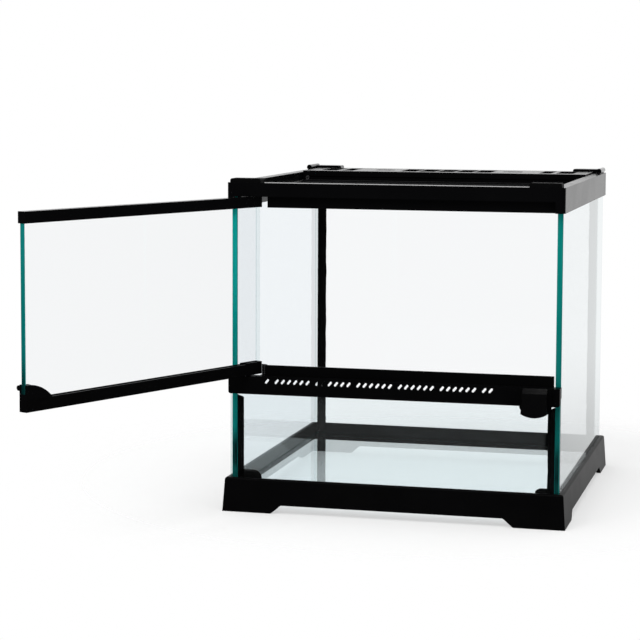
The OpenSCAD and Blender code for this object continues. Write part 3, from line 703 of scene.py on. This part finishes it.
def grow(name, build, material, **inputs):
    """Runs build(graph, inputs) as Geometry Nodes with these named inputs and returns the mesh object."""
    tree = bpy.data.node_groups.new(name + " tree", "GeometryNodeTree")
    tree.interface.new_socket("Geometry", in_out="OUTPUT", socket_type="NodeSocketGeometry")
    sockets = {}
    for label, value in inputs.items():
        sockets[label] = tree.interface.new_socket(label, in_out="INPUT", socket_type=SOCKETS[type(value)])
    graph = Graph(tree)
    entry = tree.nodes.new("NodeGroupInput")
    shape = build(graph, {label: Term(graph, entry.outputs[label]) for label in inputs})
    plain = graph.node("GeometryNodeRealizeInstances", {}, {0: shape})
    painted = graph.node("GeometryNodeSetMaterial", {}, {"Geometry": plain, "Material": material})
    graph.node("NodeGroupOutput", {}, {0: painted})
    holder = bpy.data.objects.new(name + "_source", bpy.data.meshes.new(name + "_source"))
    bpy.context.collection.objects.link(holder)
    modifier = holder.modifiers.new(name, "NODES")
    modifier.node_group = tree
    for label, value in inputs.items():
        modifier[sockets[label].identifier] = value
    bpy.context.view_layer.update()
    evaluated = holder.evaluated_get(bpy.context.evaluated_depsgraph_get())
    mesh = bpy.data.meshes.new_from_object(evaluated)
    mesh.name = name
    bpy.data.objects.remove(holder)
    obj = bpy.data.objects.new(name, mesh)
    bpy.context.collection.objects.link(obj)
    return obj


def join_xyz(graph, x, y, z):
    """A vector from three numbers or terms."""
    return graph.node("ShaderNodeCombineXYZ", {}, {0: x, 1: y, 2: z})


def face_out(obj):
    """Merges doubles and turns every face of a closed mesh outwards."""
    bm = bmesh.new()
    bm.from_mesh(obj.data)
    bmesh.ops.remove_doubles(bm, verts=bm.verts, dist=TOUCHING)
    bmesh.ops.recalc_face_normals(bm, faces=bm.faces)
    bm.to_mesh(obj.data)
    bm.free()
    obj.data.update()
    return obj


print("geometry helpers are ready")

# %% [markdown]
# ## Beads of sealant
# A bead is run up the inside corner and smoothed with a wet finger, so its skin is concave and its width
# wanders a little. A profile swept along a curve would be too even, so the tree bends a grid: one
# direction goes round the section, out along the hollow face and back along the two panes, and the other
# goes up the corner. Both ends are drawn in to the corner, which closes the mesh.

# %% The bead's tree
ARC_SHARE = 0.6
SIDE_SHARE = (1 - ARC_SHARE) / 2
ROUND_STEPS = 11
WANDER_SCALE = 45.0
SEED_STEP = 7.3


def bead_tree(graph, given):
    """A concave bead in the corner at X and Y, from Low to High; Turn X and Turn Y point into the tank."""
    sockets = {"Size X": 1.0, "Size Y": 1.0, "Vertices X": ROUND_STEPS, "Vertices Y": given["Rows"]}
    grid = graph.node("GeometryNodeMeshGrid", {}, sockets)
    u, v, _ = graph.node("GeometryNodeInputPosition", {}, {}).split()
    u, v = u + 0.5, v + 0.5
    height = given["Low"] + (given["High"] - given["Low"]) * v
    seed = given["Seed"] * SEED_STEP
    sockets = {"Vector": join_xyz(graph, seed, seed, height), "Scale": WANDER_SCALE, "Detail": 2.0}
    wander = graph.node("ShaderNodeTexNoise", {}, sockets)
    plump = 1 - given["Waviness"] * wander
    end = (given["High"] - height).least(height - given["Low"]).rise(0.0, given["Depth"] * 0.5)
    angle = (u / ARC_SHARE).least(1.0) * (math.pi / 2)
    back = ((u - ARC_SHARE) / SIDE_SHARE).least(1.0).most(0.0)
    out = ((u - ARC_SHARE - SIDE_SHARE) / SIDE_SHARE).least(1.0).most(0.0)
    across = (1 - angle.math("SINE") + out) * given["Width"] * plump * end
    deep = (1 - angle.math("COSINE")) * (1 - back) * given["Depth"] * plump * end
    at = join_xyz(graph, given["X"] + across * given["Turn X"], given["Y"] + deep * given["Turn Y"], height)
    bent = graph.node("GeometryNodeSetPosition", {}, {"Geometry": grid, "Position": at})
    merged = graph.node("GeometryNodeMergeByDistance", {}, {0: bent, "Distance": TOUCHING})
    return graph.node("GeometryNodeSetShadeSmooth", {}, {0: merged, "Shade Smooth": True})


print("bead:", ROUND_STEPS - 1, "faces round the section")

# %% [markdown]
# The four beads share the tree, and only their corner, width, height and seed differ. They could be
# mirrored copies, but then the left would wander exactly as the right does. The node of the front pair
# also holds the gussets, so it is hidden only when they are there too.

# %% Run the beads up the corners
rear_low, rear_high = [Vector(v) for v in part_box("rear_corner_beads")]
REAR_BEAD_W = 9 * MM
BEAD_D = 5 * MM
BEAD_ROWS = 90
BEAD_WAVINESS = 0.22


def bead(name, side, y, turn_y, width, low, high, seed):
    """A bead in a corner: side is -1 on the left, turn_y points from the corner into the tank."""
    made = grow(
        name,
        bead_tree,
        sealant,
        **{
            "X": side * bead_high.x,
            "Y": y,
            "Turn X": -float(side),
            "Turn Y": float(turn_y),
            "Width": width,
            "Depth": BEAD_D,
            "Low": low,
            "High": high,
            "Waviness": BEAD_WAVINESS,
            "Rows": BEAD_ROWS,
            "Seed": float(seed),
        },
    )
    return face_out(made)


beads = []
for side, word in ((-1, "left"), (1, "right")):
    rear = bead("rear_bead_" + word, side, rear_high.y, -1, REAR_BEAD_W, rear_low.z, rear_high.z, side + 3)
    front = bead("front_bead_" + word, side, bead_low.y, 1, BEAD_W, bead_low.z, bead_high.z, side + 6)
    beads.append(dress(rear, "enclosure", "sealant", "rear_corner_beads"))
    beads.append(dress(front, "enclosure", "sealant"))
print("beads:", [(b.name, len(b.data.polygons)) for b in beads])

# %% [markdown]
# ## Gussets of sealant
# At the foot of each front bead the sealant is spread sideways over the pane, highest in the corner and
# falling away in a shallow curve. The right one was spread thinner, so it is lower and narrower. It could
# be sculpted, but a gusset is a thin flat pad with a curved top, so an outline that is given a thickness
# and rounded edges is enough.

# %% Spread the gussets
GUSSET_T = 1.5 * MM
GUSSET_INSET = 1.2 * MM
GUSSET_ROUND = 0.6 * MM
GUSSET_STEPS = 12
GUSSET_SHARE = {"left": (-1, 0.95, 1.0), "right": (1, 0.7, 0.5)}


def gusset_top(width, fall):
    """The upper outline of a gusset on the right side: flat, then an arc that drops by fall."""
    run = width / 3
    bend = (run**2 + fall**2) / (2 * fall)
    sweep = math.acos((bend - fall) / bend)
    crest = base_high.z + fall
    shoulder = bead_high.x - width + run
    points = [(bead_high.x - GUSSET_INSET, crest)]
    for step in range(GUSSET_STEPS + 1):
        angle = sweep * step / GUSSET_STEPS
        points.append((shoulder - bend * math.sin(angle), crest - bend * (1 - math.cos(angle))))
    return points


for word, (side, width_share, rise_share) in GUSSET_SHARE.items():
    top = gusset_top(GUSSET_W * width_share, (GUSSET_TOP - base_high.z) * rise_share)
    outline = top + [(top[-1][0], bead_low.z), (top[0][0], bead_low.z)]
    bm = bmesh.new()
    front_face = bm.faces.new([bm.verts.new((side * x, bead_low.y, z)) for x, z in outline])
    grown = bmesh.ops.extrude_face_region(bm, geom=[front_face])
    moved = [v for v in grown["geom"] if isinstance(v, bmesh.types.BMVert)]
    bmesh.ops.translate(bm, verts=moved, vec=(0, GUSSET_T, 0))
    bmesh.ops.recalc_face_normals(bm, faces=bm.faces)
    back_edges = [e for e in bm.edges if all(v.co.y > bead_low.y + GUSSET_T / 2 for v in e.verts)]
    bmesh.ops.bevel(bm, geom=back_edges, offset=GUSSET_ROUND, segments=3, affect="EDGES", profile=0.5)
    dress(mesh_piece("gusset_" + word, bm, sealant), "enclosure", "sealant")
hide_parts("front_corner_beads")
print("gussets spread")

# %% [markdown]
# ## Bedding
# Under the panes runs a thin line of the same sealant. It hardly shows, so nothing new is made for it:
# the CAD ring stays and gets the finish.

# %% Finish the bedding
nodes["glazing_bed"].data.materials.clear()
nodes["glazing_bed"].data.materials.append(sealant)
print("bedding finished")

# %% [markdown]
# ## Woven wire
# The lid and the rear vents are closed with fly screen: two sets of wires, one laid over the other. A
# flat sheet with a see-through pattern would be lighter, but it would have no thickness and cast no true
# shadow. So each set is one wire instanced along a line of points, and the sets sit half a wire above and
# below the middle of the CAD sheet. A wire that really weaves in and out would need hundreds of bends,
# and at a 1.5 mm pitch none would show.

# %% The screen's tree
WIRE_SIDES = 6
WIRE_LIFT = 0.9


def wires(graph, given, along, across, spin, lift):
    """One set of parallel wires: along and across name inputs, spin lays the wire along its axis."""
    count = (given[across] / given["Pitch"]).math("FLOOR")
    step = given[across] / count
    start = given[across] * -0.5 + step * 0.5
    first = join_xyz(graph, *((start, 0.0, lift) if spin[0] else (0.0, start, lift)))
    offset = join_xyz(graph, *((step, 0.0, 0.0) if spin[0] else (0.0, step, 0.0)))
    sockets = {"Count": count, "Start Location": first, "Offset": offset}
    row = graph.node("GeometryNodeMeshLine", {"mode": "OFFSET"}, sockets)
    rod = graph.node(
        "GeometryNodeMeshCylinder",
        {"fill_type": "NGON"},
        {"Vertices": WIRE_SIDES, "Radius": given["Wire Radius"], "Depth": given[along]},
    )
    turned = graph.node("GeometryNodeTransform", {}, {"Geometry": rod, "Rotation": spin})
    return graph.node("GeometryNodeInstanceOnPoints", {}, {"Points": row, "Instance": turned})


def screen_tree(graph, given):
    """Two sets of wires that fill Length by Depth, centred on Middle."""
    lift = given["Wire Radius"] * WIRE_LIFT
    over = wires(graph, given, "Length", "Depth", (0, math.pi / 2, 0), lift)
    under = wires(graph, given, "Depth", "Length", (math.pi / 2, 0, 0), lift * -1)
    both = graph.node("GeometryNodeJoinGeometry", {}, {0: over})
    graph.tree.links.new(under.socket, both.socket.node.inputs[0])
    return graph.node("GeometryNodeTransform", {}, {"Geometry": both, "Translation": given["Middle"]})


print("a wire has", WIRE_SIDES, "sides")

# %% [markdown]
# The CAD holds each screen as a thin sheet, and the three sheets of the vents are one node. Their sizes
# could be typed in again, but measured from the mesh, island by island, the wires fill exactly the same
# rectangles.

# %% Weave the screens
WIRE_R = 0.15 * MM
WIRE_PITCH = 1.5 * MM


def sheets(node):
    """The low and high corners of each separate solid of a node, from left to right."""
    bm = clean_copy(node)
    left, found = set(bm.verts), []
    while left:
        island, edge = set(), {next(iter(left))}
        while edge:
            island |= edge
            edge = {e.other_vert(v) for v in edge for e in v.link_edges} - island
        left -= island
        corners = [[v.co[axis] for v in island] for axis in range(3)]
        found.append((Vector(min(c) for c in corners), Vector(max(c) for c in corners)))
    bm.free()
    return sorted(found, key=lambda box: box[0].x)


SHEETS = [(node, *box) for node in ("screen_mesh", "vent_mesh") for box in sheets(node)]
for number, (node, low, high) in enumerate(SHEETS):
    middle = (low + high) / 2
    woven = grow(
        node + "_woven_" + str(number),
        screen_tree,
        wire,
        **{
            "Length": high.x - low.x,
            "Depth": high.y - low.y,
            "Pitch": WIRE_PITCH,
            "Wire Radius": WIRE_R,
            "Middle": tuple(middle),
        },
    )
    dress(woven, body_of_node[node], "mesh", node)
    print(woven.name, len(woven.data.polygons), "faces")

# %% [markdown]
# ## Panel screws
# Two small screws hold the rear panel. Each head is a low dome with a cross recess. A turned profile
# would make a rounder dome, but at this size a cone with its top cut flat looks the same. Two crossed
# bars are taken out of it, because a Boolean gives the recess true walls, and the result is instanced at
# both places.

# %% The screw's tree
ROUND_SIDES = 32
FLAT_SHARE = 0.8
BAR_LENGTH = 1.25
BAR_WIDTH = 0.28


def screw_tree(graph, given):
    """A pair of cross-head screws that look along -Y, Spread apart."""
    head = graph.node(
        "GeometryNodeMeshCone",
        {"fill_type": "NGON"},
        {
            "Vertices": ROUND_SIDES,
            "Radius Top": given["Head Radius"] * FLAT_SHARE,
            "Radius Bottom": given["Head Radius"],
            "Depth": given["Head Height"],
        },
    )
    bars = []
    long_side, short_side = given["Head Radius"] * BAR_LENGTH, given["Head Radius"] * BAR_WIDTH
    for size in ((long_side, short_side), (short_side, long_side)):
        bar = graph.node("GeometryNodeMeshCube", {}, {"Size": join_xyz(graph, *size, given["Head Height"])})
        lift = join_xyz(graph, 0.0, 0.0, given["Head Height"])
        bars.append(graph.node("GeometryNodeTransform", {}, {"Geometry": bar, "Translation": lift}))
    cut = graph.node("GeometryNodeMeshBoolean", {"operation": "DIFFERENCE"}, {0: head, 1: bars[0]})
    graph.tree.links.new(bars[1].socket, cut.socket.node.inputs[1])
    faced = graph.node("GeometryNodeTransform", {}, {"Geometry": cut, "Rotation": (math.pi / 2, 0, 0)})
    pair = graph.node(
        "GeometryNodeMeshLine",
        {"mode": "END_POINTS"},
        {
            "Count": 2,
            "Start Location": join_xyz(graph, given["Spread"] * -0.5, given["Y"], given["Z"]),
            "Offset": join_xyz(graph, given["Spread"] * 0.5, given["Y"], given["Z"]),
        },
    )
    return graph.node("GeometryNodeInstanceOnPoints", {}, {"Points": pair, "Instance": faced})


print("screw head:", ROUND_SIDES, "sides, recess", BAR_LENGTH, "radii long")

# %% [markdown]
# The heads are placed by the box that the two CAD screws fill together: its height is a head's diameter,
# and its width gives how far they stand apart.

# %% Drive the screws
screw_low, screw_high = [Vector(v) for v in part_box("panel_screws")]
HEAD_R = (screw_high.z - screw_low.z) / 2
HEAD_T = 1.2 * MM
SCREW_Z = (screw_low.z + screw_high.z) / 2
screws = grow(
    "panel_screw_heads",
    screw_tree,
    steel,
    **{
        "Head Radius": HEAD_R,
        "Head Height": HEAD_T,
        "Spread": screw_high.x - screw_low.x - 2 * HEAD_R,
        "Y": screw_low.y,
        "Z": SCREW_Z,
    },
)
dress(screws, "enclosure", "steel", "panel_screws")
print("screws:", len(screws.data.polygons), "faces")

# %% [markdown]
# ## Floor
# The tank stands on a white floor that fades out into a white surround, so that no horizon shows. A large
# plane would show its shade against the surround. So the floor is a disc of matt paper, mixed with clear
# and clearer towards its rim. It keeps the tank's shadow, and a mirror sees less of it than the eye does.

# %% Lay the floor
FLOOR_R = 0.46
FADE_FROM = 0.25
PAPER = (0.93, 0.93, 0.93)
PAPER_SHARE = 0.5
MIRRORS_LOSE = 0.75
FLOOR_BACK = 0.06
FLOOR_DROP = 0.2 * MM
bm = bmesh.new()
bmesh.ops.create_circle(bm, cap_ends=True, radius=FLOOR_R, segments=96)
bmesh.ops.translate(bm, verts=bm.verts, vec=(0, FLOOR_BACK, -FLOOR_DROP))
floor_finish, graph = new_finish("white floor")
x, y, _ = place(graph).split()
y = y - FLOOR_BACK
reach = (x * x + y * y).math("SQRT")
paper = graph.node("ShaderNodeBsdfDiffuse", {}, {"Color": (*PAPER, 1)})
clear = graph.node("ShaderNodeBsdfTransparent", {}, {})
mirrored = graph.node("ShaderNodeLightPath", {}, {}).other("Is Glossy Ray")
share = (1 - reach.rise(FADE_FROM, FLOOR_R)) * PAPER_SHARE * (1 - mirrored * MIRRORS_LOSE)
close(graph, graph.node("ShaderNodeMixShader", {}, {0: share, 1: clear, 2: paper}))
floor = mesh_piece("floor", bm, floor_finish)
print("floor radius", FLOOR_R)

# %% [markdown]
# ## Light
# A studio would put white cards and lamps round the tank, but here one surround can be all the cards,
# because it answers each kind of ray in its own way. Looked at directly it is white. Polished faces
# reflect a bright panel behind the tank, a little weaker to the right and gone below the edge of the
# table, and darkness everywhere else, which leaves the fronts of the black mouldings deep black. All
# other light from it is an even fill. One large softbox in front and above lights the green edges and
# lays a soft shadow under the base, and a small one above lifts the top.

# %% Light the scene
BRIGHT_FROM = (0.4, 0.75)
FALLS_OFF = (-0.1, 0.15)
RIGHT_LOSS = 0.1
TABLE_EDGE = (-0.29, -0.12)
FILL = 0.7
AIM = (0, 0, 0.1)
world = bpy.data.worlds.new("studio")
bpy.context.scene.world = world
world.use_nodes = True
graph = Graph(world.node_tree)
across, depth, rise = graph.node("ShaderNodeTexCoord", {}, {}).other("Generated").split()
path = graph.node("ShaderNodeLightPath", {}, {})
seen = path.other("Is Camera Ray")
mirrored = path.other("Is Glossy Ray").most(path.other("Is Transmission Ray"))
panel = depth.rise(*BRIGHT_FROM) * (1 - across.rise(*FALLS_OFF) * RIGHT_LOSS) * rise.rise(*TABLE_EDGE)
backdrop = panel * mirrored + (1 - mirrored) * FILL
mixed = graph.node("ShaderNodeBackground", {}, {"Color": seen.most(backdrop)})
graph.node("ShaderNodeOutputWorld", {}, {"Surface": mixed})


def softbox(name, place_at, width, power):
    """A square area lamp that looks at the tank, in metres and watts."""
    lamp = bpy.data.lights.new(name, "AREA")
    lamp.size = width
    lamp.energy = power
    holder = bpy.data.objects.new(name, lamp)
    bpy.context.collection.objects.link(holder)
    holder.location = place_at
    holder.rotation_euler = (Vector(AIM) - Vector(place_at)).to_track_quat("-Z", "Y").to_euler()


softbox("front softbox", (-0.4, -1.7, 2.2), 1.8, 32)
softbox("top softbox", (0.2, 0.2, 2.4), 1.2, 8)
print("lamps placed")

# %% [markdown]
# ## Camera
# A long lens from the front right, a little above the lid, so that the near and far uprights differ
# little in height. Where the tank stands in the frame could be set by turning the camera, but then the
# uprights would lean more. The lens shift, as on a view camera, moves the picture without turning
# anything.

# %% Set the camera
EYE = Vector((0.381, -1.895, 0.3905))
YAW, PITCH, ROLL = (math.radians(v) for v in (14.41, 4.944, 0.217))
FOCAL_PX = 2021.6
IMAGE_PX = 640
SHIFT_PX = -64
SENSOR = 36.0
ahead = Vector((-math.sin(YAW) * math.cos(PITCH), math.cos(YAW) * math.cos(PITCH), -math.sin(PITCH)))
level = Vector((math.cos(YAW), math.sin(YAW), 0))
over = level.cross(ahead)
right = level * math.cos(ROLL) + over * math.sin(ROLL)
up = over * math.cos(ROLL) - level * math.sin(ROLL)
lens = bpy.data.cameras.new("studio camera")
lens.sensor_width = SENSOR
lens.lens = FOCAL_PX / IMAGE_PX * SENSOR
lens.shift_y = SHIFT_PX / IMAGE_PX
lens.clip_start = 0.05
camera = bpy.data.objects.new("studio camera", lens)
bpy.context.collection.objects.link(camera)
turn = Matrix((right, up, -ahead)).transposed()
camera.matrix_world = Matrix.Translation(EYE) @ turn.to_4x4()
bpy.context.scene.camera = camera
bpy.context.scene.view_settings.view_transform = "Standard"
print("camera at", tuple(round(v, 3) for v in EYE), "lens", round(lens.lens, 1), "mm")
